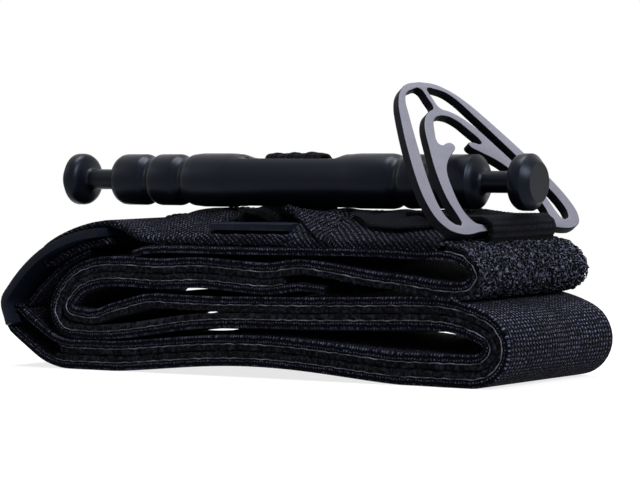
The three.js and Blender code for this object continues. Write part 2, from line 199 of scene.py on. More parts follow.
top_route = smooth([
    (-35, TOP_RUN - 1.2), (-30, TOP_RUN - 0.2), (-22, TOP_RUN), (0, TOP_RUN - 0.2), (36, TOP_RUN - 0.4),
    (50, TOP_RUN - 0.9), (57, TOP_RUN - 1.0), (61.8, TOP_RUN - 2.2), (64.6, TOP_RUN - 5.0),
    (64.9, NEST + 2.2), (62.6, NEST - 0.1),
    (57, NEST - 0.5), (46, NEST + 0.7), (35, RUN6 - 1.9), (25, RUN6 - 0.5), (16, RUN6 + 0.3), (7, RUN6 - 0.6),
    (-3, RUN6 - 0.1), (-14, RUN6 + 0.5), (-27, RUN6 + 0.1), (-38, RUN6 + 0.5), (-47, RUN6 + 0.1),
    (-53.8, RUN6 - 2), (-58, RUN6 - 5.4), (-60.6, RUN6 - 9.6), (-60.4, FOLD_FLOOR + 3.6),
    (-57.6, FOLD_FLOOR + 0.6), (-52, FOLD_FLOOR), (-45, FOLD_FLOOR), (-38, FOLD_FLOOR + 0.5),
    (-29, FOLD_FLOOR + 1.6), (-19, RUN3 - 0.9), (-8, RUN3 - 0.1), (16, RUN3 + 0.2), (36, RUN3 + 0.6),
    (50, RUN3 + CROWN), (57.5, RUN3 + 0.5), (PACK_FRONT + 1.6, RUN3 - 1.0),
    (PACK_FRONT + 5.2, MAIN_FLAT + 4.9), (PACK_FRONT + 5.9, MAIN_FLAT + 2.9),
    (PACK_FRONT + 4.4, MAIN_FLAT + 0.9), (PACK_FRONT + 1.5, MAIN_FLAT + 0.05), (PACK_FRONT - 1, MAIN_FLAT),
])
arch_route = np.array([
    (x, MAIN_FLAT + ARCH_RISE * max(0, math.cos((x - 1) / 43 * math.pi / 2)) ** 1.3)
    for x in np.arange(44, -43, -2.0)
])
to_bar = smooth([
    (-PACK_BACK, MAIN_FLAT), (-PACK_BACK - 1.5, MAIN_FLAT + 0.02), (-PACK_BACK - 6, MAIN_FLAT + 0.9),
    (-PACK_BACK - 11, MAIN_FLAT + 3.3), *arc(BAR, BAR_OFFSET, BAR_TURN, BAR_TURN + 20, 2),
])
main_line = np.vstack([top_route, arch_route, to_bar])
around_bar = arc(BAR, BAR_OFFSET, BAR_TURN + 26, BAR_TURN + 174, 12)
from_bar = smooth([
    *arc(BAR, BAR_OFFSET, BAR_TURN + 180, BAR_TURN + 190, 1), (-PACK_BACK - 15.2, TAIL_FLAT + 4.6),
    (-PACK_BACK - 9.6, TAIL_FLAT + 1.5), (-PACK_BACK - 4.6, TAIL_FLAT + 0.2), (-PACK_BACK - 1.5, TAIL_FLAT),
    (-PACK_BACK + 1, TAIL_FLAT),
])
main_route = Route(main_line)
right_fold = main_route.part(main_route.nearest(-8, RUN3), main_route.nearest(PACK_FRONT - 1, MAIN_FLAT))
left_fold = main_route.part(main_route.nearest(24, RUN6 - 0.5), main_route.nearest(-58.2, RUN6 - 5.4))
lens = smooth([  # the tail bows away from the main strap just inside the left fold
    (-57.0, FOLD_FLOOR + PILE_STACK + 2.4), (-55.7, FOLD_FLOOR + PILE_STACK + 0.9),
    (-52.6, FOLD_FLOOR + PILE_STACK + 0.2), (-47.4, FOLD_FLOOR + PILE_STACK),
    (-42.4, FOLD_FLOOR + PILE_STACK + 1.4), (-37, RUN4 - 1.2), (-30, RUN4 + 0.2), (-20, RUN4 + 0.1),
    (-11, RUN4),
])
tail_line = np.vstack([
    from_bar, parallel(arch_route, PILE_STACK)[::-1], parallel(right_fold, PILE_STACK)[::-1],
    lens[::-1], parallel(left_fold, PILE_STACK)[::-1],
])
strap_route = Route(np.vstack([main_line, around_bar, tail_line]))
MAIN_REACH = main_route.length
TAIL_START = Route(np.vstack([main_line, around_bar])).length
LOOP_START = strap_route.nearest(57, TOP_RUN - 1.0)
LOOP_SPAN = (LOOP_START, MAIN_REACH - 16)
HOOK_SPAN = (TAIL_START + 17, strap_route.length - 12)

BUCKLE_TOP = TOP_RUN + 3.0
buckle_route = Route(smooth([
    (-43, BUCKLE_TOP), (-48.6, BUCKLE_TOP - 0.7), (-54.5, BUCKLE_TOP - 2.1), (-61.2, BUCKLE_TOP - 4.6),
    (-67.6, BUCKLE_TOP - 8.6), (-72.8, BUCKLE_TOP - 13.2), (BAR[0] - 1.2, BAR[1] + 4.4), BAR,
]))
WRAP_AT = 21
WRAP_REACH = BUCKLE / 2 + GAP


# ---- modelling ----
def deselect():
    if bpy.context.object and bpy.context.object.mode != "OBJECT":
        bpy.ops.object.mode_set(mode="OBJECT")
    bpy.ops.object.select_all(action="DESELECT")


def select_only(piece):
    deselect()
    piece.select_set(True)
    bpy.context.view_layer.objects.active = piece


def points_of(piece):
    points = np.empty(len(piece.data.vertices) * 3)
    piece.data.vertices.foreach_get("co", points)
    return points.reshape(-1, 3)


def set_points(piece, points):
    piece.data.vertices.foreach_set("co", np.asarray(points, float).ravel())
    piece.data.update()


def finish_with(piece, kind, **settings):
    """Adds a modifier and applies it."""
    select_only(piece)
    modifier = piece.modifiers.new(kind.lower(), kind)
    for name, value in settings.items():
        setattr(modifier, name, value)
    bpy.ops.object.modifier_apply(modifier=modifier.name)


def break_edges(piece, width, angle):
    """Bevels the edges that turn by more than an angle in degrees."""
    finish_with(piece, "BEVEL", width=width, segments=2, limit_method="ANGLE",
                angle_limit=math.radians(angle))


def cut_out(body, centre, size, axis, corner, segments):
    """Cuts a box out of a body, its four edges along one axis rounded."""
    deselect()
    bpy.ops.mesh.primitive_cube_add(size=1, location=centre)
    cutter = bpy.context.object
    cutter.scale = size
    bpy.ops.object.transform_apply(location=True, rotation=True, scale=True)
    place = points_of(cutter)[:, axis]
    ends = [place[list(edge.vertices)] for edge in cutter.data.edges]
    weights = cutter.data.attributes.new("bevel_weight_edge", "FLOAT", "EDGE")
    weights.data.foreach_set("value", [float(abs(a - b) > 0.5) for a, b in ends])
    finish_with(cutter, "BEVEL", width=corner, segments=segments, limit_method="WEIGHT")
    finish_with(body, "BOOLEAN", operation="DIFFERENCE", object=cutter, solver="EXACT")
    bpy.data.objects.remove(cutter)


def in_edit_mode(piece, *steps):
    """Runs edit-mode operators, given as functions, on everything in the piece."""
    select_only(piece)
    bpy.ops.object.mode_set(mode="EDIT")
    bpy.ops.mesh.select_all(action="SELECT")
    for step in steps:
        step()
    bpy.ops.object.mode_set(mode="OBJECT")


def tidy(piece):
    in_edit_mode(piece, lambda: bpy.ops.mesh.remove_doubles(threshold=0.002),
                 lambda: bpy.ops.mesh.normals_make_consistent(inside=False))


def flat_uv(piece):
    """Millimetres along and across, kept from before the piece is bent."""
    layer = piece.data.uv_layers.get("UVMap") or piece.data.uv_layers.new(name="UVMap")
    corner = np.empty(len(piece.data.loops), int)
    piece.data.loops.foreach_get("vertex_index", corner)
    p = points_of(piece)
    across = p[:, 1] - p[:, 2] * np.clip(p[:, 1] / 3, -1, 1)
    layer.data.foreach_set("uv", np.stack([p[:, 0], across], axis=1)[corner].ravel())


def slack(x, y, z):
    """How the layers round the long lower opening belly towards each other between their edges."""
    split = np.interp(x, [-30, -7, 16, 30, 44, 60], [8.2, 10.2, 10.3, 9.7, 8.9, 8.5])
    span = np.clip((x + 26) / 24, 0, 1) * np.clip((57 - x) / 9, 0, 1)
    loose = span * span * (3 - 2 * span) * (1 - (y / (STRAP_WIDTH / 2)) ** 2).clip(0, 1)
    return np.where(z > split, -1.5 * np.clip((19.4 - z) / 1.2, 0, 1), 1.5) * loose


def bend(piece, route, start, loose=False):
    """Bends a flat strip along a route: X runs along it and Z stands off to its left."""
    p = points_of(piece)
    x, z = route.at(p[:, 0] + start, p[:, 2])
    if loose:
        z = z + slack(x, p[:, 1], z)
    set_points(piece, np.stack([x, p[:, 1], z], axis=1))


def join(first, *others):
    deselect()
    for piece in (first, *others):
        piece.select_set(True)
    bpy.context.view_layer.objects.active = first
    bpy.ops.object.join()
    return first


def flat_strip(name, length, width, low, high, along=1.3, across=3.0, edge=0.45, middle=0.0):
    """A flat strip of webbing from X 0, rounded at its edges, between two heights."""
    deselect()
    bpy.ops.mesh.primitive_grid_add(
        x_subdivisions=max(2, round(length / along)), y_subdivisions=max(2, round(width / across)),
        size=1, location=(0, 0, 0))
    piece = bpy.context.object
    piece.name = name
    p = points_of(piece)
    set_points(piece, np.stack([(p[:, 0] + 0.5) * length, p[:, 1] * width + middle, p[:, 2] * 0 + high], 1))
    finish_with(piece, "SOLIDIFY", thickness=high - low, offset=-1)
    break_edges(piece, edge, 50)
    flat_uv(piece)
    return piece


def mesh_from(name, points, faces, edges=()):
    mesh = bpy.data.meshes.new(name)
    mesh.from_pydata([tuple(p) for p in points], list(edges), faces)
    return put(name, mesh)


def repeated(name, model, places):
    """One mesh of many copies of a small model, each through its own 4 by 4 matrix."""
    p = points_of(model)
    faces = [tuple(f.vertices) for f in model.data.polygons]
    points = np.concatenate([p @ m[:3, :3].T + m[:3, 3] for m in places])
    count = len(p)
    all_faces = [tuple(v + i * count for v in f) for i in range(len(places)) for f in faces]
    bpy.data.objects.remove(model)
    return mesh_from(name, points, all_faces)


def weft_turns(name, length, half_width, low, high):
    """The weft yarn turning back round the strip's outer warp, all along both edges."""
    middle, radius = (low + high) / 2, (high - low) / 2 - 0.12
    pitch, swell = 0.95, 0.2  # from turn to turn, and the yarn's own radius
    deselect()
    bpy.ops.mesh.primitive_torus_add(
        major_segments=10, minor_segments=5, major_radius=radius - 0.1, minor_radius=swell,
        rotation=(0, math.pi / 2, 0))
    deselect()
    model = bpy.context.object
    model.select_set(True)
    bpy.ops.object.transform_apply(location=True, rotation=True, scale=True)
    in_edit_mode(model, lambda: bpy.ops.mesh.bisect(
        plane_co=(0, 0.05, 0), plane_no=(0, 1, 0), clear_outer=True, use_fill=True))
    places = []
    for side in (-1, 1):
        for i in range(int(length / pitch)):
            size = 1 + random.uniform(-0.12, 0.12)
            m = np.eye(4)
            m[0, 0], m[1, 1], m[2, 2] = 1.25, -side * size, size
            m[0, 1] = random.uniform(-0.2, 0.2)
            m[:3, 3] = (i + 0.5) * pitch, side * (half_width - radius - swell + 0.12), middle
            places.append(m)
    piece = repeated(name, model, places)
    tidy(piece)
    flat_uv(piece)
    return piece


def webbing(name, length, width, low, high, **shape):
    """A woven strip with its weft turns along both edges, still flat."""
    body = flat_strip(name, length, width - 0.15, low, high, **shape)
    turns = weft_turns(name + "_turns", length, width / 2, low, high)
    return join(body, turns)


def edge_line(name, length, half_width, height, route, start):
    """The sewn thread that shows as a thin line where the pile meets the webbing, on both edges."""
    size = 0.2  # the thread's thickness
    lines = []
    for side in (-1, 1):
        line = flat_strip(name, length, size, height - size / 2, height + size / 2, along=0.6, across=size,
                          edge=size * 0.3, middle=side * half_width)
        p = points_of(line)
        p[:, 2] += 0.10 * np.sin(p[:, 0] * 1.7) * np.sin(p[:, 0] * 0.31)
        p[:, 1] += side * 0.10 * np.sin(p[:, 0] * 2.3)
        set_points(line, p)
        lines.append(line)
    piece = join(*lines)
    bend(piece, route, start)
    return piece


def settle(piece, smooth_angle=40, place=None):
    """Scales a piece from millimetres to metres, puts it in its place and shades it."""
    piece.data.transform(Matrix.Translation(ORIGIN) @ Matrix.Scale(MM, 4) if place is None else place)
    piece.data.update()
    select_only(piece)
    bpy.ops.object.shade_smooth_by_angle(angle=math.radians(smooth_angle))
    return piece


# ---- materials ----
def linear(code):
    """An sRGB hex colour as linear RGBA."""
    parts = [int(code[i:i + 2], 16) / 255 for i in (1, 3, 5)]
    return tuple(c / 12.92 if c <= 0.04045 else ((c + 0.055) / 1.055) ** 2.4 for c in parts) + (1,)


def add(tree, kind, inputs=None, stops=None, **settings):
    """Adds a node. An input's value is a number, a colour, an output, or a node for its first output."""
    made = tree.nodes.new("ShaderNode" + kind)
    for key, value in settings.items():
        setattr(made, key, value)
    for key, value in (inputs or {}).items():
        if isinstance(value, bpy.types.Node):
            value = value.outputs[0]
        if isinstance(value, bpy.types.NodeSocket):
            tree.links.new(value, made.inputs[key])
        else:
            made.inputs[key].default_value = value
    for i, (position, code) in enumerate(stops or []):
        stop = made.color_ramp.elements[i] if i < 2 else made.color_ramp.elements.new(position)
        stop.position, stop.color = position, linear(code)
    return made


def empty_tree(block):
    """The node tree of a material or a world, with nothing in it."""
    block.use_nodes = True
    block.node_tree.nodes.clear()
    return block.node_tree


def new_material(name):
    """An empty material: its node tree, and a function that fits it with a Principled shader."""
    material = bpy.data.materials.new(name)
    tree = empty_tree(material)

    def surface(color, height, depth, **values):
        bump = add(tree, "Bump", {"Height": height, "Distance": depth * MM, "Strength": 1.0})
        inputs = {"Base Color": color, "Normal": bump}
        inputs.update({key.replace("_", " "): value for key, value in values.items()})
        shader = add(tree, "BsdfPrincipled", inputs)
        add(tree, "OutputMaterial", {"Surface": shader})
        return material

    return tree, surface


COOL = (0.62, 0.74, 1.0, 1.0)  # the shine of these near-black surfaces leans to blue


def woven(name, along, across, stops, depth, twill=False, sheen=0.015, rough=0.75, coarse=2.0):
    """Woven nylon from its own flat millimetres: yarns of the given pitch, painted shade dark between them, a
    painted highlight pale on top.
    """
    tree, surface = new_material(name)
    place = add(tree, "TexCoord").outputs["UV"]
    wander = add(tree, "TexNoise", {"Vector": place, "Scale": 0.35, "Detail": 2.0})
    drift = add(tree, "VectorMath", {0: wander.outputs["Color"], 1: (0.5, 0.5, 0.5)}, operation="SUBTRACT")
    swing = add(tree, "VectorMath", {0: drift, "Scale": 0.5}, operation="SCALE")
    loose = add(tree, "VectorMath", {0: place, 1: swing}, operation="ADD")
    if twill:
        loose = add(tree, "Mapping", {"Vector": loose, "Rotation": (0, 0, math.radians(38))})
    split = add(tree, "SeparateXYZ", {0: loose})
    waves = []
    for axis, pitch, power in (("X", along, 0.4), ("Y", across, 1.0)):
        turn = add(tree, "Math", {0: split.outputs[axis], 1: math.pi / pitch}, operation="MULTIPLY")
        sine = add(tree, "Math", {0: turn}, operation="SINE")
        size = add(tree, "Math", {0: sine}, operation="ABSOLUTE")
        waves.append(add(tree, "Math", {0: size, 1: power}, operation="POWER"))
    yarns = add(tree, "Math", {0: waves[0], 1: waves[1]}, operation="MULTIPLY")
    fibres = add(tree, "TexNoise", {"Vector": place, "Scale": 1.9, "Detail": 3.0, "Roughness": 0.75})
    worn = add(tree, "TexNoise", {"Vector": place, "Scale": 0.12, "Detail": 3.0})
    frayed = add(tree, "Math", {0: fibres.outputs["Fac"], 1: coarse, 2: 0.5 - coarse / 2},
                 operation="MULTIPLY_ADD")
    # The ramp below paints the yarn crowns pale as a highlight and the gaps between them dark as shade.
    lit = add(tree, "Math", {0: yarns, 1: frayed}, operation="MULTIPLY")
    shade = add(tree, "Math", {0: worn.outputs["Fac"], 1: 0.5, 2: 0.72}, operation="MULTIPLY_ADD")
    tone = add(tree, "Math", {0: lit, 1: shade}, operation="MULTIPLY")
    color = add(tree, "ValToRGB", {"Fac": tone}, stops=stops)
    height = add(tree, "Math", {0: fibres.outputs["Fac"], 1: 0.35, 2: yarns}, operation="MULTIPLY_ADD")
    return surface(color, height, depth, Roughness=rough, Sheen_Weight=sheen,
                   Sheen_Roughness=0.45, Specular_IOR_Level=0.02, Specular_Tint=COOL)


def fuzzy(name, stops, scale=900.0, depth=0.5, sheen=0.04):
    """Brushed nylon loops: soft dark clumps of painted shade, with paler tips painted as highlights. The
    scale is per metre, 900 for 1.1 mm.
    """
    tree, surface = new_material(name)
    place = add(tree, "TexCoord").outputs["Object"]
    clumps = add(tree, "TexVoronoi", {"Vector": place, "Scale": scale, "Randomness": 1.0})
    curls = add(tree, "TexNoise", {"Vector": place, "Scale": scale * 1.7, "Detail": 4.0, "Roughness": 0.7})
    both = add(tree, "Math", {0: clumps.outputs["Distance"], 1: 0.6, 2: curls.outputs["Fac"]},
               operation="MULTIPLY_ADD")
    # The ramp paints the clumps' tips pale as highlights and the ground between them dark as shade.
    color = add(tree, "ValToRGB", {"Fac": both}, stops=stops)
    return surface(color, both, depth, Roughness=0.9, Sheen_Weight=sheen,
                   Sheen_Roughness=0.5, Specular_IOR_Level=0.024, Specular_Tint=COOL)


def hard(name, stops, grain, depth, rough, marks=60.0, level=0.5):
    """A moulded, turned or coated surface: a fine grain, slow changes of tone and slight wear.

    Grain and marks are per metre. The grain, about 0.5 mm, is drawn coarser than it is, so that it shows.
    """
    tree, surface = new_material(name)
    place = add(tree, "TexCoord").outputs["Object"]
    fine = add(tree, "TexNoise", {"Vector": place, "Scale": grain, "Detail": 3.0, "Roughness": 0.6})
    slow = add(tree, "TexNoise", {"Vector": place, "Scale": marks, "Detail": 4.0, "Roughness": 0.6})
    both = add(tree, "Math", {0: fine.outputs["Fac"], 1: 0.35, 2: 0.0}, operation="MULTIPLY_ADD")
    tone = add(tree, "Math", {0: slow.outputs["Fac"], 1: 0.65, 2: both}, operation="MULTIPLY_ADD")
    color = add(tree, "ValToRGB", {"Fac": tone}, stops=stops)
    rubbed = add(tree, "MapRange", {"Value": tone, "From Min": 0.3, "From Max": 0.7,
                                    "To Min": rough + 0.06, "To Max": rough - 0.06})
    return surface(color, fine.outputs["Fac"], depth, Roughness=rubbed.outputs["Result"],
                   Specular_IOR_Level=level, Specular_Tint=COOL)


# All specular levels are low, because the white background mirrors in every face.
# Each woven and pile colour ramp below paints highlights on the yarn and loop tops and shade in the gaps
# between them.
# Woven polyamide strap: round yarns 1.05 mm apart, their tops painted with small dull glints as highlights,
# and painted shade in the near-black gaps between.
strap_cloth = woven("woven_polyamide_strap", 0.75, 1.05,
                    [(0.0, "#010103"), (0.26, "#04050a"), (0.42, "#161824"), (0.58, "#60627a")], 0.5)
# Twill cover webbing: slanting ribs, painted pale on their crowns as highlights, give it a coarser, slightly
# paler face than the strap.
cover_cloth = woven("twill_cover_webbing", 0.68, 0.98,
                    [(0.0, "#010103"), (0.26, "#05060b"), (0.42, "#161823"), (0.58, "#54566c")], 0.5,
                    twill=True)
# Fine tubular band: soft and close-woven, so it looks smoother where it is gathered.
band_cloth = woven("fine_woven_band", 0.7, 0.7, [(0.0, "#020203"), (0.4, "#0c0d12"), (0.7, "#2e2f39")],
                   0.16, coarse=0.8)
# Calendered nylon flap: pressed flat, with a faint satin sheen and hardly any weave.
smooth_cloth = woven("calendered_nylon", 0.6, 0.75, [(0.0, "#020204"), (0.4, "#0a0b11"), (0.7, "#2c2e3c")],
                     0.14, sheen=0.01, rough=0.65, coarse=1.2)
# Ribbed keeper tape: cords lie across it, and its ribs show as even pale lines, painted on their crowns as
# highlights.
keeper_cloth = woven("ribbed_tape", 0.9, 0.5, [(0.0, "#030304"), (0.4, "#0d0e13"), (0.7, "#30313c")], 0.12,
                     coarse=0.8)
# Brushed loop pile: a deep black ground of painted shade, with tangled curls whose paler tips are painted
# highlights.
PILE_SHADE_AND_HIGHLIGHT = [(0.5, "#020204"), (0.8, "#090a0f"), (1.0, "#2a2c38")]
pile_cloth = fuzzy("brushed_loop_pile", PILE_SHADE_AND_HIGHLIGHT)
# The curls' ramp runs from painted shade to a pale painted highlight on their tips.
curl_cloth = fuzzy("loop_pile_curls", [(0.6, "#020204"), (0.84, "#0a0b10"), (0.99, "#575a6c")], scale=1700.0,
                   depth=0.1, sheen=0.03)
hook_cloth = fuzzy("hook_tape", PILE_SHADE_AND_HIGHLIGHT, scale=1300.0)
# Bonded thread: tight and a little waxy, a shade paler than the cloth that it is sewn into.
thread = hard("bonded_thread", [(0.3, "#0a0b0e"), (0.7, "#191a20")], 1600.0, 0.05, 0.55, level=0.050)
edge_thread = hard("sewn_edge_thread", [(0.36, "#1a1b21"), (0.5, "#53545e"), (0.66, "#878893")], 1500.0, 0.05,
                   0.7, marks=320.0, level=0.040)
# Moulded polyamide: satin, with a fine spark-eroded grain and slow changes of tone towards blue-grey.
plastic = hard("moulded_polyamide", [(0.3, "#070910"), (0.55, "#10131d"), (0.75, "#242a3a")], 2600.0, 0.03,
               0.42, level=0.064)
# Black anodised aluminium: a dark even skin, with broad soft highlights from the turned form.
anodised = hard("black_anodised_aluminium", [(0.3, "#05060a"), (0.55, "#080a10"), (0.75, "#0e1018")], 1900.0,
                0.012, 0.34, marks=45.0, level=0.124)
# Grey powder coat on steel: flat and even, with a fine orange-peel grain.
grey_coat = hard("grey_powder_coat", [(0.3, "#595962"), (0.55, "#686873"), (0.75, "#747480")], 2200.0, 0.03,
                 0.5, marks=40.0, level=0.080)
# The ring's cut steel sides, painted as shade: darker than the coated faces, with a faint grain across.
ring_side_shade = hard("ring_side_painted_shade", [(0.3, "#060609"), (0.55, "#0b0b0f"), (0.75, "#18181e")], 1800.0, 0.05,
                0.6, marks=90.0, level=0.040)


# ---- strap ----
def piece(made, body, material, slot, *nodes):
    """Gives a finished piece its body and material, and the nodes that it stands in for. Its slot is not
    used.
    """
    made.data.materials.clear()
    made.data.materials.append(material)
    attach(made, body)
    if nodes:
        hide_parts(*nodes)
    return made


def sewn(made, angle, *fittings):
    """A piece of the folded strap, shaded smooth below an angle in degrees."""
    return piece(settle(made, angle), "strap_pack", *fittings)


def make_strap():
    strap = webbing("strap", strap_route.length, STRAP_WIDTH, -WEB, 0.0, along=1.2, across=3.6)
    bend(strap, strap_route, 0, loose=True)
    return sewn(strap, 60, strap_cloth, "webbing", "strap_webbing")


def make_tape(name, span, material, node):
    """A pile tape with a ragged face."""
    length = span[1] - span[0]
    tape = flat_strip(name, length, STRAP_WIDTH - 0.6, 0.12, GAP + TAPE, along=0.7, across=1.6, edge=0.35)
    p = points_of(tape)
    ragged = random.normal(0, 1, len(p))
    outer = p[:, 2] > 0.6
    p[:, 2] += np.where(outer, 0.10 * ragged, 0)
    p[:, 1] += np.sign(p[:, 1]) * np.where(abs(p[:, 1]) > STRAP_WIDTH / 2 - 1, 0.15 * ragged, 0)
    set_points(tape, p)
    bend(tape, strap_route, span[0], loose=True)
    return sewn(tape, 80, material, "pile", node)


def curl_model(radius, thickness):
    """One loop of pile, open at the bottom, standing on Z = 0."""
    deselect()
    bpy.ops.mesh.primitive_torus_add(major_segments=9, minor_segments=3, major_radius=radius,
                                     minor_radius=thickness, rotation=(math.pi / 2, 0, 0))
    model = bpy.context.object
    bpy.ops.object.transform_apply(location=True, rotation=True, scale=True)
    in_edit_mode(model, lambda: bpy.ops.mesh.bisect(
        plane_co=(0, 0, -radius * 0.45), plane_no=(0, 0, 1), clear_inner=True, use_fill=True))
    p = points_of(model)
    p[:, 2] += radius * 0.45
    set_points(model, p)
    return model


def make_curls(name, start, end, count, low, high):
    """Loops of pile scattered over the bare stretch of the loop tape, round the upper fold."""
    places = []
    for _ in range(count):
        s, y = random.uniform(start, end), random.uniform(-STRAP_WIDTH / 2, STRAP_WIDTH / 2)
        size = random.uniform(low, high)
        turn = (Matrix.Rotation(random.uniform(0, math.pi * 2), 3, "Z")
                @ Matrix.Rotation(random.normal(0, 0.55), 3, "X"))
        m = np.eye(4)
        m[:3, :3] = np.array(turn) * size
        m[:3, 3] = s, y, GAP + TAPE - 0.25
        places.append(m)
    curls = repeated(name, curl_model(0.52, 0.15), places)
    bend(curls, strap_route, 0)
    return sewn(curls, 80, curl_cloth, "pile")


def make_edge_lines():
    """Where each tape meets the webbing, on the main strap and on the tail."""
    for name, span in (("edge_line_main", LOOP_SPAN), ("edge_line_tail", HOOK_SPAN)):
        line = edge_line(name, span[1] - span[0], STRAP_WIDTH / 2 - 0.02, 0.12, strap_route, span[0])
        sewn(line, 60, edge_thread, "thread")


# ---- sleeve, flap and keeper ----
BUCKLE_END = -43.0  # the squared upper end of the buckle, along the pack
STRIP_LENGTH, STRIP_WIDTH = GUIDE_LENGTH + 6, 6.2  # the cover's strip at each side of the guide plate


def ridge(x):
    """The highest line of the cover over the bunched band, along the pack."""
    return np.interp(x, [-44, -40, -36, -30, -26, -22, -16, -12, 12, 17, 19.5, 28, 36, 38, 44, 52, 56],
                     [35.3, 35.3, 35.6, 36.5, 37.5, 37.5, 37.4, 37.1, 37.2, 36.9, 35.6, 35.5, 35.5, 35.2,
                      34.8, 34.0, 33.9])


def rim(x):
    """The cover's sewn edges, along the pack."""
    return np.interp(x, [-44, -41, -38, -35, -32, -28, 46, 56],
                     [35.2, 35.0, 34.0, 32.4, 31.2, 30.7, 30.5, 30.2])


def cover_height(x, y):
    """The top of the cover webbing, crowned over the band and creased towards the rod."""
    across = np.clip(abs(y) / (STRAP_WIDTH / 2), 0, 1)
    crown = 1 - across ** 2.3
    slope = (1 - across) * across * 4
    crease = 0.34 * np.sin(x * 0.55 + y * 0.35) * np.sin(x * 0.21 - 0.6) * slope
    return rim(x) + (ridge(x) - rim(x)) * crown + crease * crown


def make_cover_right():
    """Cover webbing from the guide plate to the ring's keeper."""
    start, end = GUIDE_LENGTH / 2 + GAP, 55.0
    cover = webbing("sleeve_right_cover", end - start, STRAP_WIDTH - 0.4, -COVER, 0.0, along=0.8, across=1.2)
    p = points_of(cover)
    x = p[:, 0] + start
    set_points(cover, np.stack([x, p[:, 1], cover_height(x, p[:, 1]) + p[:, 2]], axis=1))
    skirts = []
    for side in (-1, 1):
        skirt = flat_strip("skirt", STRIP_LENGTH, STRIP_WIDTH, -2.3, 0.0, along=0.9, across=0.8)
        p = points_of(skirt)
        p[:, 0] -= STRIP_LENGTH / 2
        fall = (1 - side * p[:, 1] / (STRIP_WIDTH / 2)) / 2
        p[:, 1] += side * (STRAP_WIDTH / 2 - 3.4)
        p[:, 2] += 31.9 + 0.25 * fall + 0.12 * np.sin(p[:, 0] * 1.1)
        set_points(skirt, p)
        skirts.append(skirt)
    return sewn(join(cover, *skirts), 60, cover_cloth, "webbing", "sleeve_right")


def make_cover_left():
    """Cover webbing from the guide plate, over the buckle, through its upper slot and back inside."""
    plate = buckle_route.part(0.3, WRAP_AT)
    over, under = parallel(plate, -WRAP_REACH), parallel(plate, WRAP_REACH)[::-1]
    turn = plate[-1]
    facing = math.degrees(math.atan2(over[-1][1] - turn[1], over[-1][0] - turn[0]))
    start = -GUIDE_LENGTH / 2 - GAP
    crest = [(x, ridge(x) - WRAP) for x in np.linspace(start, BUCKLE_END + 1.5, 16)]
    round_turn = arc(turn, WRAP_REACH, facing + 20, facing + 160, 8)
    route = Route(np.vstack([smooth(crest), over, round_turn, under]))
    cover = webbing("sleeve_left_cover", route.length, STRAP_WIDTH - 1, -WRAP, 0.0, along=0.8, across=1.2)
    above = points_of(cover)[:, 0] < route.nearest(BUCKLE_END + 1.5, ridge(BUCKLE_END) - WRAP)
    bend(cover, route, 0)
    p = points_of(cover)
    p[:, 2] -= np.where(above, ridge(p[:, 0]) - cover_height(p[:, 0], p[:, 1]), 0)
    set_points(cover, p)
    return sewn(cover, 60, cover_cloth, "webbing", "sleeve_left")


def make_flap():
    """A smooth flap lying over the cover, under the rod."""
    start, end, width = 19.5, RING_REACH - 21.2, 31.0
    flap = flat_strip("rod_flap_cloth", end - start, width, 0.25, 1.15, along=0.6, across=0.8, edge=0.3)
    p = points_of(flap)
    finish = end + np.clip((-7.6 - p[:, 1]) / 7.4, 0, 1) * 12.0
    begin = start + 0.075 * np.clip(abs(p[:, 1]) - 4, 0, None) ** 2
    reach = p[:, 0] / (end - start)
    x = begin + reach * (finish - begin)
    p[:, 1] *= np.where(p[:, 1] < 0, 1 - 0.24 * abs(2 * reach - 1) ** 3, 1)  # its near corners are rounded
    wave = 0.16 * np.sin(x * 0.5) * np.sin(p[:, 1] * 0.4)
    lift = 0.35 * (abs(p[:, 1]) / (width / 2)) ** 4  # its edges stand off a little
    set_points(flap, np.stack([x, p[:, 1], cover_height(x, p[:, 1]) + p[:, 2] + wave + lift], axis=1))
    return sewn(flap, 50, smooth_cloth, "smooth_webbing", "rod_flap")


def keeper_rise(x):
    """How far the keeper's upper leaf lifts over the crowned cover."""
    t = np.clip((52 - x) / 13, 0, 1)
    return 1.1 * t * t * (3 - 2 * t)


def make_keeper():
    """Ribbed tape round the ring's bar, its ribs lying along the bar."""
    pivot = (RING_REACH, COVER_TOP + GAP - KEEPER_INNER)
    route = Route(np.vstack([
        [(RING_REACH - 15.4, pivot[1] - KEEPER_INNER)], arc(pivot, KEEPER_INNER, -90, 90, 16),
        [(x, pivot[1] + KEEPER_INNER + keeper_rise(x)) for x in (51, 48, 45, 42, RING_REACH - 20.4)],
    ]), 0.2)
    keeper = flat_strip("keeper_tape", route.length, KEEPER_WIDTH, -KEEPER, 0.0, along=0.18, across=1.2,
                        edge=0.3, middle=RING_MIDDLE)
    p = points_of(keeper)
    outer = p[:, 2] < -KEEPER / 2
    p[:, 2] += np.where(outer, -0.16 * abs(np.sin(p[:, 0] * math.pi / 1.05)) + 0.08, 0)
    at_edge = abs(p[:, 1] - RING_MIDDLE) > KEEPER_WIDTH / 2 - 1
    p[:, 1] += 0.12 * np.sin(p[:, 0] * 2.1) * at_edge
    set_points(keeper, p)
    bend(keeper, route, 0)
    return sewn(keeper, 50, keeper_cloth, "keeper", "ring_keeper")


# ---- stitches ----
def stitch_model(length, thick):
    """One stitch along X: a slack little loop of thread sunk at both ends."""
    deselect()
    bpy.ops.mesh.primitive_uv_sphere_add(segments=6, ring_count=6, radius=1, rotation=(0, math.pi / 2, 0))
    model = bpy.context.object
    bpy.ops.object.transform_apply(location=True, rotation=True, scale=True)
    p = points_of(model) * (length / 2, thick / 2, thick / 2)
    p[:, 2] -= 0.5 * thick * (abs(p[:, 0]) / (length / 2)) ** 3
    set_points(model, p)
    return model


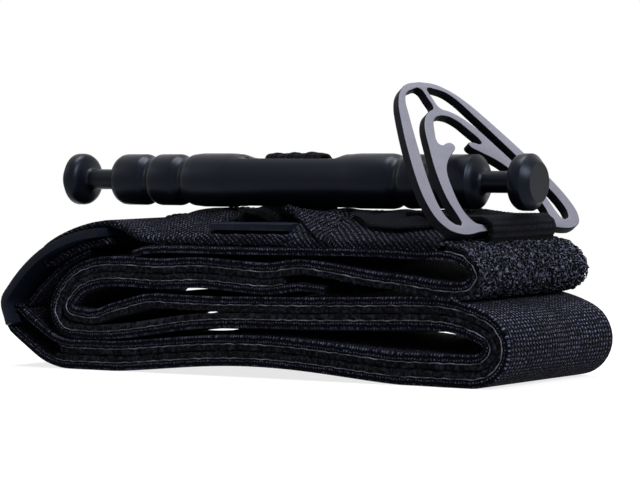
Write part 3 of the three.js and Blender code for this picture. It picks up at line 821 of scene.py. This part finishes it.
def make_stitches(name, spots, height, nodes=(), length=2.3, thick=0.5):
    """Stitches at (x, y, heading in degrees), lying on a surface given by its height."""
    places = []
    for x, y, heading in spots:
        turn = math.radians(heading)
        dx, dy = math.cos(turn), math.sin(turn)
        rise = (height(x + dx, y + dy) - height(x - dx, y - dy)) / 2
        along = Vector((dx, dy, rise)).normalized()
        side = Vector((-dy, dx, 0))
        m = np.eye(4)
        m[:3, :3] = np.array((along, side, along.cross(side))).T
        m[:3, 3] = x, y, height(x, y) + thick * 0.15
        places.append(m)
    made = repeated(name, stitch_model(length, thick), places)
    return sewn(made, 80, thread, "thread", *nodes)


def across_row(x, width, middle=0.0):
    """Two rows of stitches side by side across the strap."""
    pitch, gap = 2.1, 1.5
    count = int(width / pitch)
    return [(x + side * gap / 2, middle + (i - (count - 1) / 2) * pitch, 90)
            for side in (-1, 1) for i in range(count)]


def along_row(y, start, end):
    return [(x, y, 0) for x in np.arange(start, end, 2.6)]


# ---- band: flat in the sleeve, gathered through the rod, and fanned out beside it ----
def make_band():
    """The inner band lying flat in the sleeve, and its gathered loop through the rod's slot."""
    flat = flat_strip("band_loop", 80, 25.4, BAND_TOP - 2 + 0.1, BAND_TOP - 0.2, along=2, across=2, edge=0.4)
    p = points_of(flat)
    p[:, 0] -= 38
    set_points(flat, p)
    drop = ROD_AXIS - BAND_TOP
    over = arc((0, 0), BARREL + 0.95, 52, -8, 8)
    loop_route = Route(np.vstack([
        smooth([(0, -drop - 0.5), (0, -drop / 2), (0, 2), (0.05, BARREL - 1.5), (0.6, BARREL - 0.55),
                (1.8, BARREL - 0.3), (3.2, BARREL - 0.35), tuple(over[0])])[:-1],
        over, [(BARREL + 0.85, -4), (BARREL + 0.5, -drop + 2), (BARREL + 0.4, -drop - 0.5)],
    ]))
    loop = flat_strip("loop", loop_route.length, LOOP_WIDTH, -0.45, 0.55, along=0.5, across=0.4, edge=0.3)
    p = points_of(loop)
    lumps = 0.34 * abs(np.sin(p[:, 1] * 0.62 + 0.9)) + 0.16 * np.sin(p[:, 1] * 2.7 + p[:, 0] * 0.3) - 0.25
    p[:, 2] += np.where(p[:, 2] > 0, lumps * np.clip((p[:, 0] - 8) / 6, 0, 1), 0)
    set_points(loop, p)
    bend(loop, loop_route, 0)
    turned = Matrix.Rotation(ROD_YAW, 4, "Z") @ Matrix.Rotation(math.pi / 2, 4, "Z")
    loop.data.transform(Matrix.Translation((0, -1.5, ROD_AXIS)) @ turned)
    return sewn(join(flat, loop), 60, band_cloth, "band", "tension_band")


def twisted(name, spots, cells):
    """A ribbon through spots of (centre, half width as a vector), pleated towards its narrow end."""
    thick, steps = 1.2, 40
    keys = np.array([[*c, *w] for c, w in spots], float)
    t = np.linspace(0, len(keys) - 1, steps + 1)
    rows = np.stack([np.interp(t, np.arange(len(keys)), keys[:, k]) for k in range(6)], 1)
    kernel = np.array([1, 2, 3, 2, 1]) / 9
    for k in range(6):
        rows[2:-2, k] = np.convolve(rows[:, k], kernel, "valid")
    across = np.linspace(-1, 1, cells + 1)
    along = np.gradient(rows[:, :3], axis=0)
    normal = np.cross(along, rows[:, 3:])
    normal /= np.linalg.norm(normal, axis=1)[:, None]
    wide = np.linalg.norm(rows[:, 3:], axis=1)
    pleat = np.sin(across[None, :] * 10) * 0.6 * np.clip(1.3 - wide[:, None] / 11, 0.3, 1)
    points = (rows[:, None, :3] + across[None, :, None] * rows[:, None, 3:]
              + pleat[:, :, None] * normal[:, None, :]).reshape(-1, 3)
    n = cells + 1
    faces = [(i * n + j, i * n + j + 1, (i + 1) * n + j + 1, (i + 1) * n + j)
             for i in range(steps) for j in range(cells)]
    made = mesh_from(name, points, faces)
    layer = made.data.uv_layers.new(name="UVMap")
    reach = np.concatenate([[0], np.cumsum(np.linalg.norm(np.diff(rows[:, :3], axis=0), axis=1))])
    for loop in made.data.loops:
        i, j = divmod(loop.vertex_index, n)
        layer.data[loop.index].uv = (reach[i], across[j] * 7)
    finish_with(made, "SOLIDIFY", thickness=thick, offset=0)
    break_edges(made, thick * 0.25, 50)
    finish_with(made, "SUBSURF", levels=1, render_levels=1)
    return made


def make_fans():
    """Where the cover is drawn up to the rod: a fan to the near side, and a rolled leg behind the plate."""
    fan = twisted("band_fan", [
        ((1.0, -4.4, 37.0), (2.4, -1.0, -0.4)), ((4.2, -6.8, 36.7), (2.8, -1.8, -0.6)),
        ((8.6, -9.2, 35.9), (4.0, -3.4, -0.9)), ((13.5, -11.2, 34.9), (4.6, -5.2, -1.6)),
        ((18.0, -12.6, 33.9), (4.2, -6.2, -2.3)), ((23.0, -13.4, 32.9), (3.0, -6.0, -2.4)),
    ], cells=30)
    leg = twisted("band_leg", [
        ((-9.6, -5.0, 34.6), (1.2, -5.6, 0.2)), ((-8.2, -5.6, 36.5), (1.6, -5.2, 0.4)),
        ((-4.8, -5.2, 37.1), (1.4, -4.4, -0.8)), ((-1.8, -4.6, 36.4), (0.6, -3.6, -1.6)),
        ((-0.6, -4.2, 34.8), (0.2, -3.2, -1.0)),
    ], cells=10)
    sewn(fan, 70, cover_cloth, "webbing")
    sewn(leg, 70, band_cloth, "band")


# ---- plates: cut flat, then bent ----
def cut_plate(name, length, width, thickness, holes, corner, edge):
    """A flat plate from X 0 with rounded holes of (x0, x1, y0, y1), its edges broken."""
    deselect()
    bpy.ops.mesh.primitive_grid_add(x_subdivisions=round(length / 0.9), y_subdivisions=round(width / 2),
                                    size=1, location=(0, 0, 0))
    plate = bpy.context.object
    plate.name = name
    p = points_of(plate)
    set_points(plate, np.stack([(p[:, 0] + 0.5) * length, p[:, 1] * width, p[:, 2]], 1))
    finish_with(plate, "SOLIDIFY", thickness=thickness, offset=0)
    for x0, x1, y0, y1 in holes:
        middle = (x0 + x1) / 2, (y0 + y1) / 2, 0
        cut_out(plate, middle, (x1 - x0, y1 - y0, thickness * 3), 2, corner, 4)
    break_edges(plate, edge, 40)
    return plate


def make_buckle():
    """The moulded buckle: an upper slot for the cover and a lower one for the strap."""
    length = buckle_route.length + BUCKLE / 2
    slot = STRAP_WIDTH / 2 + GAP
    lower = (length - BUCKLE / 2 - (BAR_OFFSET + WEB + GAP) + 0.45, length - BUCKLE - 0.1, -slot, slot)
    upper = (WRAP_AT + 0.4, WRAP_AT + WRAP_REACH + WRAP + GAP, -slot, slot)
    plate = cut_plate("buckle", length, 2 * (slot + BUCKLE_RAIL), BUCKLE, (lower, upper), 0.6, 0.35)
    bend(plate, buckle_route, 0)
    return sewn(plate, 35, plastic, "plastic", "buckle_plate")


LINER_START = 7.4
LINER_LENGTH = buckle_route.length - LINER_START - 3.6


def make_liner():
    """The flap inside the buckle that keeps skin out of it."""
    inside = WRAP_REACH + WRAP + GAP
    liner = flat_strip("liner_flap", LINER_LENGTH, STRAP_WIDTH - 3, inside, inside + LINER,
                       along=0.8, across=1.5)
    p = points_of(liner)
    p[:, 2] += 0.6 * np.sin(p[:, 0] / LINER_LENGTH * math.pi) + 0.1 * np.sin(p[:, 1] * 0.6)
    set_points(liner, p)
    bend(liner, buckle_route, LINER_START)
    return sewn(liner, 50, strap_cloth, "webbing", "buckle_liner")


def make_guide():
    """The moulded guide plate, with the opening that the band comes up through."""
    middle, half = GUIDE_LENGTH / 2, LOOP_WIDTH / 2 + 1.5
    opening = (middle - half, middle + half, -4.2, BARREL + 3.6)
    plate = cut_plate("guide", GUIDE_LENGTH, GUIDE_WIDTH, GUIDE_THICKNESS, [opening], 1.2, 0.4)
    p = points_of(plate)
    p[:, 0] -= GUIDE_LENGTH / 2
    thin = np.clip((abs(p[:, 1]) - 13.5) / 2.6, 0, 1)
    p[:, 2] += np.where(p[:, 2] < 0, 0.9, 0) * thin - 0.14 * thin
    p[:, 2] += (COVER_BOTTOM + GUIDE_TOP) / 2 - 0.012 * p[:, 0]
    set_points(plate, p)
    return sewn(plate, 35, plastic, "plastic", "guide_plate")


# ---- rod ----
def saddle(u, half, depth, radius):
    """A shallow round groove in a barrel."""
    turns = np.linspace(-1, 1, 11)
    return [(u + half * t, radius - depth * (0.5 + 0.5 * math.cos(math.pi * t))) for t in turns]


def make_rod():
    """The turned rod: a ball-ended neck at each end, saddles, a milled flat and a slot for the band."""
    profile = [
        (-ROD_LEFT, 0), (-ROD_LEFT, 4.2), (-ROD_LEFT + 0.1, 4.3), (-62.3, 6.05), (-62.1, 6.12), (-60.7, 6.12),
        (-60.1, 6.0), (-59.5, 5.65), (-59.1, 5.1), (-58.8, 4.3), (-58.6, 3.4), (-58.3, 2.75), (-57.8, NECK),
        (-50.3, NECK), (-49.9, 2.7), (-49.6, 3.3), (-49.35, 4.1), (-48.95, 4.95), (-48.4, 5.55), (-47.7, 5.9),
        (-46.9, BARREL),
        *saddle(-39.2, 2.4, 0.95, BARREL), *saddle(-29.2, 2.4, 0.95, BARREL),
        (-25.6, 6.1), (-24.6, KNOB), (-17.0, KNOB), (-15.6, 6.15), (-14.4, BARREL), (16, BARREL),
        (17.6, 6.12), (19, KNOB), (27.2, KNOB),
        *saddle(30.0, 2.2, 0.9, 6.1), *saddle(37.4, 2.4, 0.9, BARREL),
        (48.75, BARREL), (48.95, 5.85), (49.1, 5.6), (49.45, 5.25), (49.8, 4.75), (50.1, 4.05), (50.3, 3.3),
        (50.55, 2.75), (51.0, NECK), (57.9, NECK), (58.3, 2.8), (58.5, 3.5), (58.7, 4.4), (58.95, 5.2),
        (59.3, 5.75), (59.8, 6.1), (60.5, KNOB), (62.3, KNOB), (62.5, 6.1), (64.1, 4.45), (ROD_RIGHT, 4.3),
        (ROD_RIGHT, 0),
    ]
    lines = [(i, i + 1) for i in range(len(profile) - 1)]
    rod = mesh_from("rod", [(u, 0, r) for u, r in profile], [], lines)
    in_edit_mode(rod, lambda: bpy.ops.mesh.spin(steps=72, angle=math.tau, center=(0, 0, 0), axis=(1, 0, 0)))
    tidy(rod)
    cut_out(rod, (0.6, 0, BARREL - FLAT_DEPTH + 4), (31.5, 16, 8.0), 1, 3.6, 6)  # the milled flat
    cut_out(rod, (0, 0, 0), (26, 2.7, 20), 2, 1.2, 6)  # the band's slot
    break_edges(rod, 0.18, 38)
    place = (Matrix.Translation(rod_place) @ Matrix.Rotation(ROD_YAW, 4, "Z")
             @ Matrix.Rotation(ROD_TILT, 4, "Y") @ Matrix.Scale(MM, 4))
    return piece(settle(rod, 30, place), "windlass", anodised, "anodised", "windlass_rod")


# ---- ring: drawn flat, u across and v up from the middle of its base bar ----
def make_ring():
    """The flat ring: two long side windows, and a chamber with two barbs that catch the rod."""
    half = RING_BAR / 2

    def mirrored(points):
        return np.vstack([points, [(-u, v) for u, v in points[::-1] if u > 0.01]])

    outer = mirrored(smooth([
        (0, -half), (13, -half), (17, -1.5), (20, -1.4), (23.4, -0.1), (25.2, 2.6), (25.4, 6.2), (24.2, 11.4),
        (20.0, 21.2), (15.2, 30.2), (12.5, 34.5), (9.4, 37.8), (5.1, 40.2), (0, 40.9)], 0.6))
    chamber = mirrored(smooth([
        (0, half), (11.9, half), (13.4, 1.6), (14.4, 3.6), (14.5, 6.2), (13.2, 11.2), (11.3, 15.4),
        (8.6, 18.2), (4.7, 20.7), (3.0, 21.8), (2.6, 22.6), (3.3, 23.4), (4.8, 23.3), (6.6, 22.8),
        (7.6, 23.2), (7.6, 24.2), (6.2, 26.6), (4.4, 29.2), (2.4, 30.6), (0, 31.1)], 0.4))
    window = smooth([
        (18.9, 1.0), (20.6, 1.6), (21.7, 3.4), (21.6, 6.8), (19.4, 13.6), (15.7, 22.0), (11.4, 31.0),
        (9.0, 35.6), (6.8, 37.7), (3.9, 38.7), (1.8, 39.1), (0.95, 38.5), (0.9, 36), (0.9, 34), (1.6, 33.0),
        (3.4, 32.4), (5.9, 31.0), (8.8, 28), (12.1, 22), (15.4, 15), (17.5, 8), (17.7, 3.4), (18.0, 1.6),
        (18.9, 1.0)], 0.4)[:-1]
    curve = bpy.data.curves.new("ring_outline", "CURVE")
    curve.dimensions, curve.fill_mode = "2D", "BOTH"
    edge = 0.22
    curve.extrude, curve.bevel_depth, curve.bevel_resolution = RING_THICKNESS / 2 - edge, edge, 2
    curve.offset = -edge
    for line in (outer, chamber[::-1], window, window * (-1, 1)):
        spline = curve.splines.new("POLY")
        spline.points.add(len(line) - 1)
        spline.points.foreach_set("co", np.concatenate([line, np.tile((0, 1), (len(line), 1))], 1).ravel())
        spline.use_cyclic_u = True
    ring = put("ring", curve)
    select_only(ring)
    bpy.ops.object.convert(target="MESH")
    tidy(ring)
    rod_at_lugs = ROD_AXIS - LUG_STATION * math.sin(ROD_TILT)
    rise = rod_at_lugs + BARREL + GAP - hinge_place.z / MM
    depth = RING_THICKNESS / 2
    lean = math.acos(rise / math.hypot(LUG_HEIGHT, depth)) - math.atan(depth / LUG_HEIGHT)
    # The side faces take the darker second material, which paints shade on the ring's sides.
    sides = [abs(face.normal.z) < 0.75 for face in ring.data.polygons]
    upright = Matrix(((0, 0, 1, 0), (1, 0, 0, 0), (0, 1, 0, 0), (0, 0, 0, 1)))
    place = (Matrix.Translation(hinge_place) @ Matrix.Rotation(-lean, 4, "Y") @ upright @ Matrix.Scale(MM, 4))
    made = piece(settle(ring, 30, place), "ring", grey_coat, "grey_coat", "retention_ring")
    made.data.materials.append(ring_side_shade)
    made.data.polygons.foreach_set("material_index", [int(side) for side in sides])
    return made


# ---- assembly ----
strap = make_strap()
loop_tape = make_tape("loop_tape_pile", LOOP_SPAN, pile_cloth, "loop_tape")
hook_tape = make_tape("hook_tape_pile", HOOK_SPAN, hook_cloth, "hook_tape")
pile_ends = np.linspace(LOOP_START - 3, strap_route.nearest(52, NEST), 3)
pile_curls = [make_curls(name, start, end, 3900, 0.55, 1.0)
              for name, start, end in zip(("pile_curls_upper", "pile_curls_lower"), pile_ends, pile_ends[1:])]
make_edge_lines()
sleeve_right = make_cover_right()
sleeve_left = make_cover_left()
flap = make_flap()
make_keeper()
make_band()
make_fans()
make_buckle()
liner = make_liner()
make_guide()
make_rod()
make_ring()


def on_flap(x, y):
    return cover_height(x, y) + 1.0


def on_keeper(x, y):
    return COVER_TOP + GAP + KEEPER + keeper_rise(x) + 0.1


make_stitches("stitches_sleeve_left", across_row(-17, 30), cover_height, ["tack_sleeve_left"])
make_stitches("stitches_buckle_wrap", across_row(-33, 30), cover_height, ["tack_buckle_wrap"])
make_stitches("stitches_flap", across_row(24, 24), on_flap, ["tack_sleeve_right"], thick=0.4)
make_stitches("stitches_keeper", across_row(RING_REACH - 14.4, 20, RING_MIDDLE), on_keeper,
              ["tack_ring_keeper"])
seams = [spot for y in (-16.4, 16.4) for spot in along_row(y, -30, -13) + along_row(y, 13.5, 53)]
make_stitches("stitches_cover_edges", seams, cover_height, length=2.0, thick=0.4)


def background_rays(tree):
    """1 for the rays that show the background itself: straight, mirrored or through glass."""
    rays = add(tree, "LightPath")
    seen = add(tree, "Math", {0: rays.outputs["Is Camera Ray"], 1: rays.outputs["Is Transmission Ray"]},
               operation="MAXIMUM")
    return add(tree, "Math", {0: seen, 1: rays.outputs["Is Glossy Ray"]}, operation="MAXIMUM")


# ---- stage ----
def make_stage():
    """A plain pale floor that keeps the shadow, white to the camera further out."""
    deselect()
    bpy.ops.mesh.primitive_circle_add(vertices=96, radius=6.0, fill_type="NGON", location=(0, 0, 0))
    floor = bpy.context.object
    floor.name = "floor"
    material = bpy.data.materials.new("pale_floor")
    tree = empty_tree(material)
    place = add(tree, "TexCoord").outputs["Object"]
    away = add(tree, "VectorMath", {0: place}, operation="LENGTH")
    far = add(tree, "MapRange", {"Value": away.outputs["Value"], "From Min": 0.14, "From Max": 0.3})
    seen = background_rays(tree)
    lift = add(tree, "Math", {0: seen, 1: 0.78}, operation="MULTIPLY")
    white = add(tree, "Math", {0: seen, 1: far.outputs["Result"]}, operation="MULTIPLY")
    paint = add(tree, "BsdfDiffuse", {"Color": linear("#8e8e90")})
    glow = add(tree, "Emission", {"Color": (1, 1, 1, 1), "Strength": lift})
    near = add(tree, "AddShader", {0: paint, 1: glow})
    plain = add(tree, "Emission", {"Color": (1, 1, 1, 1), "Strength": 1.0})
    both = add(tree, "MixShader", {0: white, 1: near, 2: plain})
    add(tree, "OutputMaterial", {"Surface": both})
    floor.data.materials.append(material)


def make_light():
    world = bpy.data.worlds.new("studio")
    bpy.context.scene.world = world
    tree = empty_tree(world)
    seen = background_rays(tree)
    plain = add(tree, "Background", {"Color": (1, 1, 1, 1), "Strength": 0.085})
    white = add(tree, "Background", {"Color": (1, 1, 1, 1), "Strength": 1.0})
    both = add(tree, "MixShader", {0: seen, 1: plain, 2: white})
    add(tree, "OutputWorld", {"Surface": both})
    lamps = [("key", (1.3, -0.3, 0.95), 0.8, 30), ("top", (0.0, 0.2, 1.35), 0.9, 26),
             ("side", (-1.2, -0.7, 0.7), 0.8, 2.5)]
    for name, spot, size, power in lamps:
        light = bpy.data.lights.new(name, "AREA")
        light.shape, light.size, light.energy = "DISK", size, power
        lamp = put(name, light)
        lamp.location = spot
        lamp.rotation_euler = (Vector((0, 0, 0.03)) - Vector(spot)).to_track_quat("-Z", "Y").to_euler()


make_stage()
make_light()
bpy.context.scene.view_settings.view_transform = "Standard"

bpy.context.view_layer.update()
